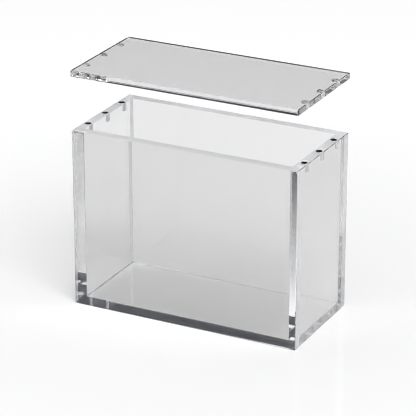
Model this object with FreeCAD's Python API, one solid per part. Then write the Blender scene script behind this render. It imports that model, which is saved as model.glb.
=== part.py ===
import FreeCAD, Part
import os

# Clear acrylic display case: five cemented sheets form an open box, and a loose lid sheet
# is held on its rim by pairs of small magnets. The lid stands lifted straight above the rim.
# Millimetres. The origin is the middle of the underside, the front faces -Y and +Z is up.

# Space kept clear inside the case
inside_width = 138.0
inside_depth = 60.0
inside_height = 110.0

# Sheets
wall_thickness = 6.0
base_thickness = 4.0
lid_thickness = 4.0
outer_edge_break = 0.3

# Magnets, a row in the top edge of each side wall and a matching row in the lid
magnets_per_row = 3
row_end_distance = 9.0
magnet_diameter = 4.0
magnet_rim_radius = 0.1
wall_magnet_length = 5.0
lid_skin = 0.9

# Clearances: round a magnet in its hole, from a sheet's face to a magnet's end, under the lifted lid
magnet_fit = 0.05
magnet_recess = 0.1
lid_lift = 34.0

# Sizes that follow
outer_width = inside_width + 2 * wall_thickness
outer_depth = inside_depth + 2 * wall_thickness
case_height = base_thickness + inside_height
lid_underside = case_height + lid_lift
lid_hole_depth = lid_thickness - lid_skin
lid_magnet_length = lid_hole_depth - magnet_recess
wall_hole_depth = wall_magnet_length + magnet_recess
wall_middle = (inside_width + wall_thickness) / 2
panel_middle = (inside_depth + wall_thickness) / 2
row_pitch = (inside_depth - 2 * row_end_distance) / (magnets_per_row - 1)

SAME_PLACE = 1e-4


def sheet(width, depth, height, middle_x, middle_y, low_z):
    """Rectangular sheet, given by its sizes, its middle in plan and its lowest level."""
    corner = FreeCAD.Vector(middle_x - width / 2, middle_y - depth / 2, low_z)
    return Part.makeBox(width, depth, height, corner)


def rests_on(low, high, limits):
    """True where a span is a single value that is one of two limits."""
    return high - low < SAME_PLACE and min(abs(low - limit) for limit in limits) < SAME_PLACE


def is_outer_edge(edge, block):
    """True for an edge that lies along an edge of the block's own bounding box."""
    span = edge.BoundBox
    sides = (
        rests_on(span.XMin, span.XMax, (block.XMin, block.XMax)),
        rests_on(span.YMin, span.YMax, (block.YMin, block.YMax)),
        rests_on(span.ZMin, span.ZMax, (block.ZMin, block.ZMax)),
    )
    return sum(sides) == 2


def break_outer_edges(piece, block):
    """Chamfer the edges of a sheet that show on the outside of the block that it belongs to."""
    edges = [edge for edge in piece.Edges if is_outer_edge(edge, block)]
    return piece.makeChamfer(outer_edge_break, edges)


def drill(piece, places, low_z, depth):
    """Drill one flat-ended hole for each place in plan."""
    for x, y in places:
        hole = Part.makeCylinder(magnet_diameter / 2 + magnet_fit, depth, FreeCAD.Vector(x, y, low_z))
        piece = piece.cut(hole)
    return piece


def magnet(length, x, y, low_z):
    """Plated rod magnet with both rims rounded."""
    rod = Part.makeCylinder(magnet_diameter / 2, length, FreeCAD.Vector(x, y, low_z))
    rims = [edge for edge in rod.Edges if isinstance(edge.Curve, Part.Circle)]
    return rod.makeFillet(magnet_rim_radius, rims)


def row_places(side):
    """Magnet centres in plan along one side wall, from the front to the back."""
    first = -inside_depth / 2 + row_end_distance
    return [(side * wall_middle, first + index * row_pitch) for index in range(magnets_per_row)]


case_block = FreeCAD.BoundBox(
    -outer_width / 2, -outer_depth / 2, 0, outer_width / 2, outer_depth / 2, case_height
)
nodes = {}

# Front and back panels run the whole width and stand on the ground
for name, side in (("front_panel", -1), ("back_panel", 1)):
    blank = sheet(outer_width, wall_thickness, case_height, 0, side * panel_middle, 0)
    nodes[name] = break_outer_edges(blank, case_block)

# Side walls fit between the two panels, and carry magnets in their top edges
for name, side in (("left_wall", -1), ("right_wall", 1)):
    blank = sheet(wall_thickness, inside_depth, case_height, side * wall_middle, 0, 0)
    wall = break_outer_edges(blank, case_block)
    hole_floor = case_height - wall_hole_depth
    nodes[name] = drill(wall, row_places(side), hole_floor, wall_hole_depth)
    for number, (x, y) in enumerate(row_places(side), start=1):
        nodes[f"{name}_magnet_{number}"] = magnet(wall_magnet_length, x, y, hole_floor)

# The base is let in between all four, flush with their lower edges
nodes["base_panel"] = sheet(inside_width, inside_depth, base_thickness, 0, 0, 0)

# The lid covers the whole rim, and its magnets hang in blind holes over those of the walls
lid = sheet(outer_width, outer_depth, lid_thickness, 0, 0, lid_underside)
lid = break_outer_edges(lid, lid.BoundBox)
for name, side in (("lid_left", -1), ("lid_right", 1)):
    lid = drill(lid, row_places(side), lid_underside, lid_hole_depth)
    for number, (x, y) in enumerate(row_places(side), start=1):
        nodes[f"{name}_magnet_{number}"] = magnet(lid_magnet_length, x, y, lid_underside + magnet_recess)
nodes["lid"] = lid

os.makedirs("parts", exist_ok=True)
for name, shape in nodes.items():
    shape.exportStep(f"parts/{name}.step")
    print(name, len(shape.Solids), "solid", round(shape.Volume, 1), "mm3")
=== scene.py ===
# %% [markdown]
# A clear display case, dressed for the camera
#
# The real object is a box of five acrylic sheets, cemented edge to face, and a loose lid sheet that
# twelve small magnets hold on its rim. Its shape is all flat sheets, which the solids already have,
# so this lesson is about light: how a clear block bends, mirrors and pipes it, and about the few marks
# that cutting, cementing and wiping leave on it.

# %% Load the fixed frame
import math

import bmesh
import bpy
import numpy as np
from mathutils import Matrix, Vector


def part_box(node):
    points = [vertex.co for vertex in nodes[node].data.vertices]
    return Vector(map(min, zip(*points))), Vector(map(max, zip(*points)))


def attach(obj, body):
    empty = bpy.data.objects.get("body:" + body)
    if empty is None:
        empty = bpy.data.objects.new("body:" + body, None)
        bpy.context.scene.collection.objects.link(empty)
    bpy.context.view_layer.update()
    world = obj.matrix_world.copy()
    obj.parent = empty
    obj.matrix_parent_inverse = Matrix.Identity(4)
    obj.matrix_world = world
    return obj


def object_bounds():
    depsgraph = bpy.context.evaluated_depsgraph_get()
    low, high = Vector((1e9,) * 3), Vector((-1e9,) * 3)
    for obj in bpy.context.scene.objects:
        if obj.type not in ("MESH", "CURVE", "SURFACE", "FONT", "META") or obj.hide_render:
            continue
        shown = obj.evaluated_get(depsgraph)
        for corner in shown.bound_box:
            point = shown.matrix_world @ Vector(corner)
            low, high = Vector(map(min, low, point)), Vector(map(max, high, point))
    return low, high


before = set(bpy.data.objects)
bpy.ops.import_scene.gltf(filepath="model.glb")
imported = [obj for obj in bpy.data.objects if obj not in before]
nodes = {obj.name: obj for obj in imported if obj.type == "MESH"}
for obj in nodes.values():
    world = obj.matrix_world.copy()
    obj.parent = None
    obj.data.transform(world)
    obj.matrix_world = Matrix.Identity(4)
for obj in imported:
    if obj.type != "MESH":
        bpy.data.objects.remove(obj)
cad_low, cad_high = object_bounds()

scene = bpy.context.scene
print("nodes", len(nodes), "box", tuple(cad_low), tuple(cad_high))

# %% [markdown]
# Every place below comes from the solids. The side walls stand between the front and back panels, and
# the base is let in between all four, so the walls' inner faces and the base's top give every joint.

# %% Measure the case
wall_low, wall_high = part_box("right_wall")
base_low, base_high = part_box("base_panel")
lid_low, lid_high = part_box("lid")

half_inside_x = wall_low.x
half_inside_y = wall_high.y
half_outside_x = cad_high.x
half_outside_y = cad_high.y
rim_z = wall_high.z
floor_z = base_high.z
print("inside", 2 * half_inside_x, 2 * half_inside_y, "rim", rim_z)
print("base from", base_low.z, "to", floor_z, "lid from", lid_low.z, "to", lid_high.z)

# %% [markdown]
# The camera looks at the front and right sides from a little above. A long lens far away keeps the
# uprights almost parallel, as a product photographer would. Aiming at a point inside the case frames
# it without any lens shift.

# %% Set the camera
camera_azimuth = math.radians(27.03)
camera_elevation = math.radians(22.45)
camera_distance = 1.4446
camera_lens_mm = 205.6
sensor_mm = 36
aim_height = 0.06424
aim_sideways = -0.0011

camera_right = Vector((math.cos(camera_azimuth), math.sin(camera_azimuth), 0))
camera_back = Vector(
    (
        math.sin(camera_azimuth) * math.cos(camera_elevation),
        -math.cos(camera_azimuth) * math.cos(camera_elevation),
        math.sin(camera_elevation),
    )
)
camera_data = bpy.data.cameras.new("photo_camera")
camera_data.lens = camera_lens_mm
camera_data.sensor_width = sensor_mm
camera = bpy.data.objects.new("photo_camera", camera_data)
aim = Vector((0, 0, aim_height)) + aim_sideways * camera_right
camera.location = aim + camera_distance * camera_back
camera.rotation_euler = (-camera_back).to_track_quat("-Z", "Y").to_euler()
scene.collection.objects.link(camera)
scene.camera = camera
scene.view_settings.view_transform = "Standard"
print("camera at", tuple(camera.location))

# %% [markdown]
# Shader maths reads best as arithmetic. This class wraps one output socket, so that `1 - mask` or
# `abs(x) > limit` adds the Math nodes by itself, and one method adds any other node.


# %% Shader arithmetic
class Wire:
    """An output socket of a node tree. Arithmetic between wires and numbers adds Math nodes."""

    def __init__(self, tree, socket=None):
        self.tree = tree
        self.socket = socket

    def node(self, kind, settings=None, sockets=None, out=0):
        """Add a node: its settings come first, then the values or links of its sockets."""
        made = self.tree.nodes.new(kind)
        for name, value in (settings or {}).items():
            setattr(made, name, value)
        for name, value in (sockets or {}).items():
            if isinstance(value, Wire):
                self.tree.links.new(value.socket, made.inputs[name])
            else:
                made.inputs[name].default_value = value
        return Wire(self.tree, made.outputs[out] if len(made.outputs) else None)

    def maths(self, operation, *values):
        """Add one Math node."""
        return self.node("ShaderNodeMath", {"operation": operation}, dict(enumerate(values)))

    def mix(self, factor, first, second):
        """Blend two colours."""
        values = {0: factor, 6: first, 7: second}
        return self.node("ShaderNodeMix", {"data_type": "RGBA"}, values, out=2)

    def tint(self, first, second):
        """Multiply two colours."""
        values = {0: 1.0, 6: first, 7: second}
        return self.node("ShaderNodeMix", {"data_type": "RGBA", "blend_type": "MULTIPLY"}, values, out=2)

    def blend(self, factor, first, second):
        """Blend two shaders."""
        return self.node("ShaderNodeMixShader", {}, {0: factor, 1: first, 2: second})

    def smooth(self, value, low, high):
        """0 below low, 1 above high, an S between."""
        span = {"Value": value, "From Min": low, "From Max": high}
        return self.node("ShaderNodeMapRange", {"interpolation_type": "SMOOTHSTEP"}, span)

    def noise(self, point, scale, detail):
        """Soft noise from 0 to 1. Its features are about one over the scale wide, in metres."""
        return self.node("ShaderNodeTexNoise", {}, {"Vector": point, "Scale": scale, "Detail": detail})

    def stretch(self, point, scale):
        """Multiply a place by three numbers, so that a pattern is drawn out where they are small."""
        return self.node("ShaderNodeVectorMath", {"operation": "MULTIPLY"}, {0: point, 1: scale})

    def __add__(self, other):
        return self.maths("ADD", self, other)

    def __radd__(self, other):
        return self.maths("ADD", other, self)

    def __sub__(self, other):
        return self.maths("SUBTRACT", self, other)

    def __rsub__(self, other):
        return self.maths("SUBTRACT", other, self)

    def __mul__(self, other):
        return self.maths("MULTIPLY", self, other)

    def __rmul__(self, other):
        return self.maths("MULTIPLY", other, self)

    def __gt__(self, other):
        return self.maths("GREATER_THAN", self, other)

    def __lt__(self, other):
        return self.maths("LESS_THAN", self, other)

    def __or__(self, other):
        return self.maths("MAXIMUM", self, other)

    def __abs__(self):
        return self.maths("ABSOLUTE", self)


def new_tree(owner):
    """Empty the node tree of a material or world, and give a wire to build it with."""
    owner.use_nodes = True
    owner.node_tree.nodes.clear()
    return Wire(owner.node_tree)


def place_in(tree):
    """A point of the piece, in metres, and its x, y and z as three more wires."""
    point = tree.node("ShaderNodeTexCoord", out="Object")
    return [point] + [tree.node("ShaderNodeSeparateXYZ", {}, {0: point}, out=axis) for axis in range(3)]


print("wire", len(vars(Wire)), "names")

# %% [markdown]
# The case stands in a dim room under a soft ceiling. A white room all round would be simpler, but a clear
# block in it has no edges: it shows only what it bends and mirrors. The dim room behind the case shows as
# the dark lines along its edges, and the room is paler on the camera's side, so that paths which turn back
# inside a sheet stay grey. The world's colour follows the direction of a ray: its height, and how far
# back it points.

# %% Light the room
pale_room = (0.9, 0.9, 0.9, 1)
dark_room = (0.012, 0.015, 0.026, 1)
front_room = (0.42, 0.42, 0.42, 1)
soft_ceiling = (1.0, 1.0, 1.0, 1)
pale_up_to = 0.10
room_from = 0.18
room_up_to = 0.66
ceiling_from = 0.80
front_up_to = -0.3
dark_from = 0.2

world = bpy.data.worlds.new("studio")
scene.world = world
tree = new_tree(world)
toward = tree.node("ShaderNodeTexCoord", out="Generated")
depth = tree.node("ShaderNodeSeparateXYZ", {}, {0: toward}, out=1)
height = tree.node("ShaderNodeSeparateXYZ", {}, {0: toward}, out=2)
room = tree.mix(tree.smooth(depth, front_up_to, dark_from), front_room, dark_room)
low = tree.mix(tree.smooth(height, pale_up_to, room_from), pale_room, room)
sky = tree.mix(tree.smooth(height, room_up_to, ceiling_from), low, soft_ceiling)
light = tree.node("ShaderNodeBackground", {}, {"Color": sky, "Strength": 1.0})
tree.node("ShaderNodeOutputWorld", {}, {"Surface": light})
print("room", world.name, len(world.node_tree.nodes), "nodes")

# %% [markdown]
# One large lamp from the front right gives the soft shadow. A sun with a wide angle does the work of a big
# soft box, and the case can be turned or opened without leaving its beam.

# %% Hang the lamp
key_from = Vector((0.52, -0.42, 0.74))
key_width = math.radians(34)
key_strength = 1.72
key_data = bpy.data.lights.new("soft_lamp", "SUN")
key_data.angle = key_width
key_data.energy = key_strength
key = bpy.data.objects.new("soft_lamp", key_data)
key.rotation_euler = (-key_from).to_track_quat("-Z", "Y").to_euler()
scene.collection.objects.link(key)
print("lamp from", tuple(key_from), "strength", key_data.energy)

# %% [markdown]
# The table is one large white square that stands square to the camera, a hair below the case, so that the
# two faces never lie in the same place.

# %% Lay the table
table_reach = 4.0
table_drop = 0.0003
ends = np.array([-table_reach, table_reach])
across, along = np.meshgrid(ends, ends)
corners = np.stack([across, along, np.full_like(across, -table_drop)], axis=-1).reshape(-1, 3)
table_mesh = bpy.data.meshes.new("table")
table_mesh.from_pydata(corners.tolist(), [], [(0, 1, 3, 2)])
table = bpy.data.objects.new("table", table_mesh)
table.rotation_euler.z = camera_azimuth
scene.collection.objects.link(table)
print("table", tuple(corners.min(0)), tuple(corners.max(0)))

# %% [markdown]
# A photographer lays dark cards on both sides of a clear thing, just out of the picture. The sheets mirror
# them inside their edges and so get a dark outline. Cards would show through the case from other sides, so
# here the table itself is painted dim far out on both sides, and only for a ray that has entered a sheet
# and
# was mirrored: a painted dark reflection in place of the cards. Looked at straight, in a mirror or through
# acrylic, the table also glows a little, more so away from the case. That keeps it white right up to the
# picture's corners without more light on the case. For the same mirrored rays a painted pool of light glows
# on the table close to the case on its right, and the sheets carry it into their edges there.

# %% Finish the table
table_grey = (0.80, 0.80, 0.80, 1)
table_roughness = 0.06
table_index = 1.30
no_glow = (0, 0, 0, 1)
near_glow = (0.19, 0.19, 0.19, 1)
far_glow = (0.31, 0.31, 0.31, 1)
# Painted pool of light: glowing colour on the table close to the case's right, seen only inside the sheets
painted_pool_glow = (0.66, 0.66, 0.66, 1)
painted_pool_full = 0.08
painted_pool_until = 0.15
painted_pool_side = 0.06
glow_from = 0.05
glow_full = 0.42
full_shade = (1, 1, 1, 1)
dim_shade = (0.08, 0.08, 0.085, 1)
dim_from = 0.11
dim_full = 0.31

# A ray's depth is a whole number, so more than this is at least one
once = 0.5

table_white = bpy.data.materials.new("table_white")
tree = new_tree(table_white)
point, across, *_ = place_in(tree)
straight = tree.node("ShaderNodeLightPath", out="Is Camera Ray")
mirrored = tree.node("ShaderNodeLightPath", out="Is Glossy Ray")
through = tree.node("ShaderNodeLightPath", out="Is Transmission Ray")
turned = tree.node("ShaderNodeLightPath", out="Glossy Depth") > once
entered = tree.node("ShaderNodeLightPath", out="Transmission Depth") > once
inside = turned * entered
# Painted dark reflection: the table is darkened far out on both sides for rays mirrored inside a sheet
dimming = tree.smooth(abs(across), dim_from, dim_full) * inside
shade = tree.mix(dimming, full_shade, dim_shade)
away = tree.node("ShaderNodeVectorMath", {"operation": "LENGTH"}, {0: point}, out="Value")
spread = tree.mix(tree.smooth(away, glow_from, glow_full), near_glow, far_glow)
# Painted pool of light: the table glows brighter close to the case on its right, for mirrored rays only
painted_pool = (1 - tree.smooth(away, painted_pool_full, painted_pool_until)) * tree.smooth(across, 0, painted_pool_side) * inside
looked_at = tree.mix(painted_pool, spread, painted_pool_glow)
glow = tree.mix(straight | mirrored | through, no_glow, looked_at)
gloss = tree.node(
    "ShaderNodeBsdfPrincipled",
    {},
    {
        "Base Color": tree.tint(shade, table_grey),
        "Roughness": table_roughness,
        "IOR": table_index,
        "Emission Color": tree.tint(shade, glow),
        "Emission Strength": 1.0,
    },
)
tree.node("ShaderNodeOutputMaterial", {}, {"Surface": gloss})
table_mesh.materials.append(table_white)
print("table dim from", dim_from, "to", dim_full)

# %% [markdown]
# Where two sheets meet inside the case, the cement that was run into the joint leaves a fine hollow
# bead, less than a millimetre wide. It catches the light as a thin line, which a sharp corner cannot.
# A bevel on the sheets would move their edges, so the bead is a piece of its own: a profile of quarter
# circles carried round the inside, which becomes a hollow ball corner where three joints meet.

# %% Lay out the bead's surface
bead_radius = 0.0006
bead_steps = 8


def bead_points(stretch):
    """The bead's surface as rows down the profile and columns round the inside.

    Every point is a centre plus the radius times a direction. The direction turns by theta round each
    corner in plan and dips by phi from level to straight down, and the centre is one radius inside the
    sheets. With stretch, the direction is divided by its largest part, so that it ends on the sheets.
    """
    turn = np.linspace(0, np.pi / 2, bead_steps + 1)
    quarter = np.arange(4)[:, None]
    theta = (turn + quarter * np.pi / 2).ravel()
    sign_x = np.repeat(np.array([1, -1, -1, 1]), bead_steps + 1)
    sign_y = np.repeat(np.array([1, 1, -1, -1]), bead_steps + 1)
    phi = np.concatenate([[0], turn])[:, None]
    centre_z = np.concatenate([[rim_z], np.full(bead_steps + 1, floor_z + bead_radius)])[:, None]
    level = np.ones_like(theta)
    way_x = np.cos(phi) * np.cos(theta)
    way_y = np.cos(phi) * np.sin(theta)
    way = np.stack([way_x, way_y, -np.sin(phi) * level], axis=-1)
    if stretch:
        way = way / np.abs(way).max(axis=-1, keepdims=True)
    centre_x = level[None, :] * sign_x * (half_inside_x - bead_radius)
    centre_y = level[None, :] * sign_y * (half_inside_y - bead_radius)
    centre = np.stack(np.broadcast_arrays(centre_x, centre_y, centre_z), axis=-1)
    return centre + bead_radius * way


hollow = bead_points(stretch=False)
against = bead_points(stretch=True)
print("bead rows and columns", hollow.shape[:2])

# %% [markdown]
# Neighbours on the grid make the bead's faces. Between two corners the sheets are bare above the base, so
# there only the lowest rows have faces, and the corners alone run up to the rim, where a strip closes them.


# %% Join the points into faces
def bead_faces(rows, columns):
    """Quads of one side of the bead: all of the corners, and the bottom stretches between them."""
    row, column = np.meshgrid(np.arange(rows - 1), np.arange(columns), indexing="ij")
    in_corner = (column + 1) % (bead_steps + 1) > 0
    keep = in_corner | (row > 0)
    here = row[keep] * columns + column[keep]
    beside = row[keep] * columns + (column[keep] + 1) % columns
    return np.stack([here, here + columns, beside + columns, beside], axis=-1)


rows, columns = hollow.shape[:2]
count = rows * columns
front = bead_faces(rows, columns)
back = front[:, ::-1] + count
top = np.arange(columns)
top = top[(top + 1) % (bead_steps + 1) > 0]
top_end = np.stack([top, top + 1, top + 1 + count, top + count], axis=-1)
faces = np.concatenate([front, back, top_end])
points = np.concatenate([hollow.reshape(-1, 3), against.reshape(-1, 3)])
print("bead points", len(points), "faces", len(faces))

# %% [markdown]
# The hollow side and the side against the sheets meet at the bead's feet, where their points fall together.
# Merging them closes the mesh, and the faces that shrank to nothing there go out.

# %% Run the cement bead
same_place = 1e-7
sharp_from = math.radians(35)
bead_mesh = bpy.data.meshes.new("cement_bead")
bead_mesh.from_pydata(points.tolist(), [], faces.tolist())
work = bmesh.new()
work.from_mesh(bead_mesh)
bmesh.ops.remove_doubles(work, verts=work.verts, dist=same_place)
bmesh.ops.dissolve_degenerate(work, edges=work.edges, dist=same_place)
bmesh.ops.recalc_face_normals(work, faces=work.faces)
open_edges = sum(len(edge.link_faces) != 2 for edge in work.edges)
bead_volume = work.calc_volume(signed=True)
work.to_mesh(bead_mesh)
work.free()
bead_mesh.shade_smooth()
bead_mesh.set_sharp_from_angle(angle=sharp_from)
bead = bpy.data.objects.new("cement_bead", bead_mesh)
scene.collection.objects.link(bead)
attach(bead, "case")
print("bead faces", len(bead_mesh.polygons), "open edges", open_edges, "mm3", bead_volume * 1e9)

# %% [markdown]
# Acrylic cement melts two sheets into one, so a good joint has no face left to mirror or bend light,
# and a ray runs on from sheet to sheet. The solids still have both faces there, so the finish makes
# exactly those faces vanish, by where they lie, and keeps only a trace of haze.

# %% Find the joints
hair = 2e-5


def cemented(x, y, z):
    """1 on the glued faces: the walls' ends, and the base's four edges, with what they are glued to."""
    on_wall_end = abs(abs(y) - half_inside_y) < hair
    on_wall_face = abs(abs(x) - half_inside_x) < hair
    beside_wall = abs(x) > half_inside_x
    beside_base = z < floor_z
    return (on_wall_end * (beside_wall | beside_base)) | (on_wall_face * beside_base)


def under_bead(x, y, z):
    """1 on the strips of the sheets' inner faces that the cement bead covers."""
    near_x = abs(x) > half_inside_x - bead_radius
    near_y = abs(y) > half_inside_y - bead_radius
    near_z = z < floor_z + bead_radius
    on_x = (abs(abs(x) - half_inside_x) < hair) * (near_y | near_z)
    on_y = (abs(abs(y) - half_inside_y) < hair) * (near_x | near_z)
    on_z = (abs(z - floor_z) < hair) * (near_x | near_y)
    return on_x | on_y | on_z


print("joints at", half_inside_x, half_inside_y, floor_z)

# %% [markdown]
# A saw leaves a rough edge and a wheel polishes it, never as clear as the face of the sheet. The edges that
# show are the rim, the ends of the front and back panels, and all four edges of the lid.


# %% Find the cut edges
def case_cut_edges(x, y, z):
    """1 on the sawn and polished edges of the case: its rim, and the ends of the front and back panels."""
    on_rim = abs(z - rim_z) < hair
    on_end = (abs(abs(x) - half_outside_x) < hair) * (abs(y) > half_inside_y)
    return on_rim | on_end


def lid_cut_edges(x, y):
    """1 on the four sawn and polished edges of the lid."""
    return (abs(abs(x) - half_outside_x) < hair) | (abs(abs(y) - half_outside_y) < hair)


print("cut edges at", half_outside_x, half_outside_y, rim_z)

# %% [markdown]
# The magnets stand in drilled pockets that the glue fills, so a pocket's wall has nothing to mirror and
# vanishes like a joint. The twelve pockets lie in equal rows, so folding x and y gives one pocket for all.

# %% Find the pockets
glue_width = 1e-4
bare_rim = 1.5e-4
magnet_low, magnet_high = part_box("right_wall_magnet_2")
lid_magnet_low, lid_magnet_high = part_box("lid_right_magnet_2")
end_magnet_low, end_magnet_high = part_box("right_wall_magnet_3")
row_x = (magnet_low.x + magnet_high.x) / 2
row_pitch = abs(end_magnet_low.y + end_magnet_high.y) / 2
glue_reach = (magnet_high.x - magnet_low.x) / 2 + glue_width
lid_pocket_z = lid_magnet_high.z
wall_pocket_z = magnet_low.z


def from_magnet(x, y):
    """The square of the distance from the nearest magnet's axis: the rows fold into one magnet."""
    aside = abs(x) - row_x
    along = y.node("ShaderNodeMath", {"operation": "PINGPONG"}, {0: y + row_pitch, 1: row_pitch / 2})
    return aside * aside + along * along


def in_pocket(x, y, z):
    """1 on the drilled walls and ends of the magnets' pockets, which the glue fills."""
    beside = from_magnet(x, y) < glue_reach * glue_reach
    return beside * (z > wall_pocket_z - hair) * (z < lid_pocket_z + hair)


def glued_in(z):
    """1 on a magnet below its bare end: deeper than its rim in a wall, higher than its rim in the lid."""
    in_wall = z < magnet_high.z - bare_rim
    in_lid = z > lid_magnet_low.z + bare_rim
    return in_wall | in_lid


print("row", row_x, row_pitch, "pockets end at", lid_pocket_z, wall_pocket_z)

# %% [markdown]
# A clear sheet is never quite bare. Its faces carry faint streaks from the cloth that wiped it, and its cut
# edges keep level lines from the saw and the buffing wheel. Both are noise drawn out along one direction,
# read from the place on the piece, so they stay put when the lid is lifted.

# %% Marks on the sheets
wipe_scale = (30, 9, 14)
wipe_turn = (0.5, 0.3, 0.6)
wipe_from = 0.50
wipe_full = 0.80
tool_stretch = (0.04, 0.04, 1)
tool_scale = 1400


def wipe_marks(tree, point):
    """Faint streaks of a wiping cloth: noise drawn out along a slanted direction, from 0 to 1."""
    slanted = tree.node(
        "ShaderNodeMapping",
        {"vector_type": "TEXTURE"},
        {"Vector": point, "Rotation": wipe_turn, "Scale": [1 / share for share in wipe_scale]},
    )
    return tree.smooth(tree.noise(slanted, 1.0, 5.0), wipe_from, wipe_full)


def tool_marks(tree, point):
    """Level lines of the saw and the wheel: noise that changes fast upwards and slowly along an edge."""
    return tree.noise(tree.stretch(point, tool_stretch), tool_scale, 2.0)


print("wipe marks", wipe_scale, "tool marks", tool_scale)

# %% [markdown]
# Cast acrylic is a clear shader with a low index. Its tint comes in two ways. A little is taken up at each
# face, which greys the broad sheets, and a volume takes more the longer a ray runs inside, which greys the
# edges, where light has come right through the sheet from its far side. A gentle ripple bends what is seen
# through it. Cut edges and joints need a second, ground look, and a mix of the two by place gives one
# material for every sheet.

# %% Clear acrylic
acrylic_index = 1.49
case_tint = (0.87, 0.87, 0.87, 1)
case_loss = 0.28
lid_tint = (0.91, 0.905, 0.905, 1)
lid_loss = 2.0
ripple_scale = 70
ripple_height = 1.5e-6
tool_height = 2e-6
grain_scale = 1500
speck_scale = 300
wipe_roughness = 0.06
wipe_veil = 0.012
speck_from = 0.45
speck_full = 0.75
least_haze = 0.01
speck_haze = 0.06
grain_from = 0.3
grain_full = 0.7
least_worn = 0.50
grain_worn = 0.20
ground_grey = (0.89, 0.90, 0.93, 1)
ground_white = (0.96, 0.965, 0.98, 1)
ground_roughness = 0.6
ground_clear = 0.4
deep_colour = (0.0, 0.04, 0.12, 1)


def acrylic(name, tint, loss, joined):
    """Clear cast acrylic, with its loss of light per metre. Glued faces and filled pockets vanish."""
    material = bpy.data.materials.new(name)
    tree = new_tree(material)
    point, x, y, z = place_in(tree)
    wiped = wipe_marks(tree, point)
    grain = tree.noise(point, grain_scale, 2.0)
    cut = case_cut_edges(x, y, z) if joined else lid_cut_edges(x, y)
    ripple = tree.noise(point, ripple_scale, 1.0) * ripple_height
    relief = ripple + cut * tool_marks(tree, point) * tool_height
    bend = tree.node("ShaderNodeBump", {}, {"Height": relief, "Strength": 1.0, "Distance": 1.0})
    clear = tree.node(
        "ShaderNodeBsdfPrincipled",
        {},
        {
            "Base Color": tint,
            "Roughness": wiped * wipe_roughness,
            "IOR": acrylic_index,
            "Transmission Weight": 1.0,
            "Normal": bend,
        },
    )
    ground = tree.node(
        "ShaderNodeBsdfPrincipled",
        {},
        {
            "Base Color": tree.mix(grain, ground_grey, ground_white),
            "Roughness": ground_roughness,
            "IOR": acrylic_index,
            "Transmission Weight": ground_clear,
        },
    )
    gap = tree.node("ShaderNodeBsdfTransparent")
    dull = wiped * wipe_veil
    open_joint = in_pocket(x, y, z)
    if joined:
        joint = cemented(x, y, z)
        specks = tree.smooth(tree.noise(point, speck_scale, 3.0), speck_from, speck_full)
        haze = least_haze + specks * speck_haze
        worn = least_worn + grain_worn * tree.smooth(grain, grain_from, grain_full)
        dull = dull | joint | (cut * worn)
        open_joint = open_joint | (joint * (1 - haze)) | (under_bead(x, y, z) * (1 - joint))
    surface = tree.blend(open_joint, tree.blend(dull, clear, ground), gap)
    deep = tree.node("ShaderNodeVolumeAbsorption", {}, {"Color": deep_colour, "Density": loss})
    tree.node("ShaderNodeOutputMaterial", {}, {"Surface": surface, "Volume": deep})
    return material


case_acrylic = acrylic("case_acrylic", case_tint, case_loss, joined=True)
lid_acrylic = acrylic("lid_acrylic", lid_tint, lid_loss, joined=False)
bead_mesh.materials.append(case_acrylic)
print("acrylic nodes", len(case_acrylic.node_tree.nodes), len(lid_acrylic.node_tree.nodes))

# %% [markdown]
# The magnets are plated with bright nickel, which is tumbled and so has a fine uneven gloss. The part that
# sits in its pocket shows through the acrylic as a pale pin, because the glue lies on it as a dull film.
# The bare end is a small mirror of the dark room.

# %% Nickel
plate_scale = 3000
dent_depth = 4e-7
plate_gloss = 0.04
plate_dull = 0.06
plate_grey = (0.77, 0.755, 0.735, 1)
plate_bright = (0.83, 0.825, 0.815, 1)
glue_scale = 900
glue_gloss = 0.4
glue_dull = 0.2
glue_grey = (0.72, 0.71, 0.70, 1)
glue_pale = (0.84, 0.83, 0.82, 1)


def nickel(name):
    """Bright nickel plate, with the dull film of glue on all but the bare end."""
    material = bpy.data.materials.new(name)
    tree = new_tree(material)
    point, *_, z = place_in(tree)
    tumbled = tree.noise(point, plate_scale, 3.0)
    smeared = tree.noise(point, glue_scale, 2.0)
    dents = tumbled * dent_depth
    dented = tree.node("ShaderNodeBump", {}, {"Height": dents, "Strength": 1.0, "Distance": 1.0})
    plate = tree.node(
        "ShaderNodeBsdfPrincipled",
        {},
        {
            "Base Color": tree.mix(tumbled, plate_grey, plate_bright),
            "Metallic": 1.0,
            "Roughness": plate_gloss + tumbled * plate_dull,
            "Normal": dented,
        },
    )
    glue = tree.node(
        "ShaderNodeBsdfPrincipled",
        {},
        {
            "Base Color": tree.mix(smeared, glue_grey, glue_pale),
            "Roughness": glue_gloss + smeared * glue_dull,
        },
    )
    surface = tree.blend(glued_in(z), plate, glue)
    tree.node("ShaderNodeOutputMaterial", {}, {"Surface": surface})
    return material


nickel_plate = nickel("nickel_plate")
print("nickel nodes", len(nickel_plate.node_tree.nodes))

# %% [markdown]
# Every solid keeps its shape and only changes its finish. The lid has its own acrylic, because it has no
# joints and is a thinner, clearer sheet.

# %% Dress the solids
for name, piece in nodes.items():
    piece.data.materials.clear()
    if "magnet" in name:
        piece.data.materials.append(nickel_plate)
    elif name == "lid":
        piece.data.materials.append(lid_acrylic)
    else:
        piece.data.materials.append(case_acrylic)
print("dressed", sorted(nodes))

# %% [markdown]
# A ray that enters an edge can be mirrored inside the sheet a dozen times before it leaves, so the
# render has to follow it that long. The edges are hairlines at this size, so the picture's own softness is
# kept to one pixel.

# %% Follow light through the sheets
turns = 40
scene.cycles.max_bounces = turns
scene.cycles.transmission_bounces = turns
scene.cycles.glossy_bounces = turns
scene.cycles.transparent_max_bounces = turns
scene.cycles.blur_glossy = 0
scene.cycles.filter_width = 1.0
print("bounces", scene.cycles.max_bounces, "denoise", scene.cycles.use_denoising)

# %% [markdown]
# The dressed case has to be exactly as large as its solids.
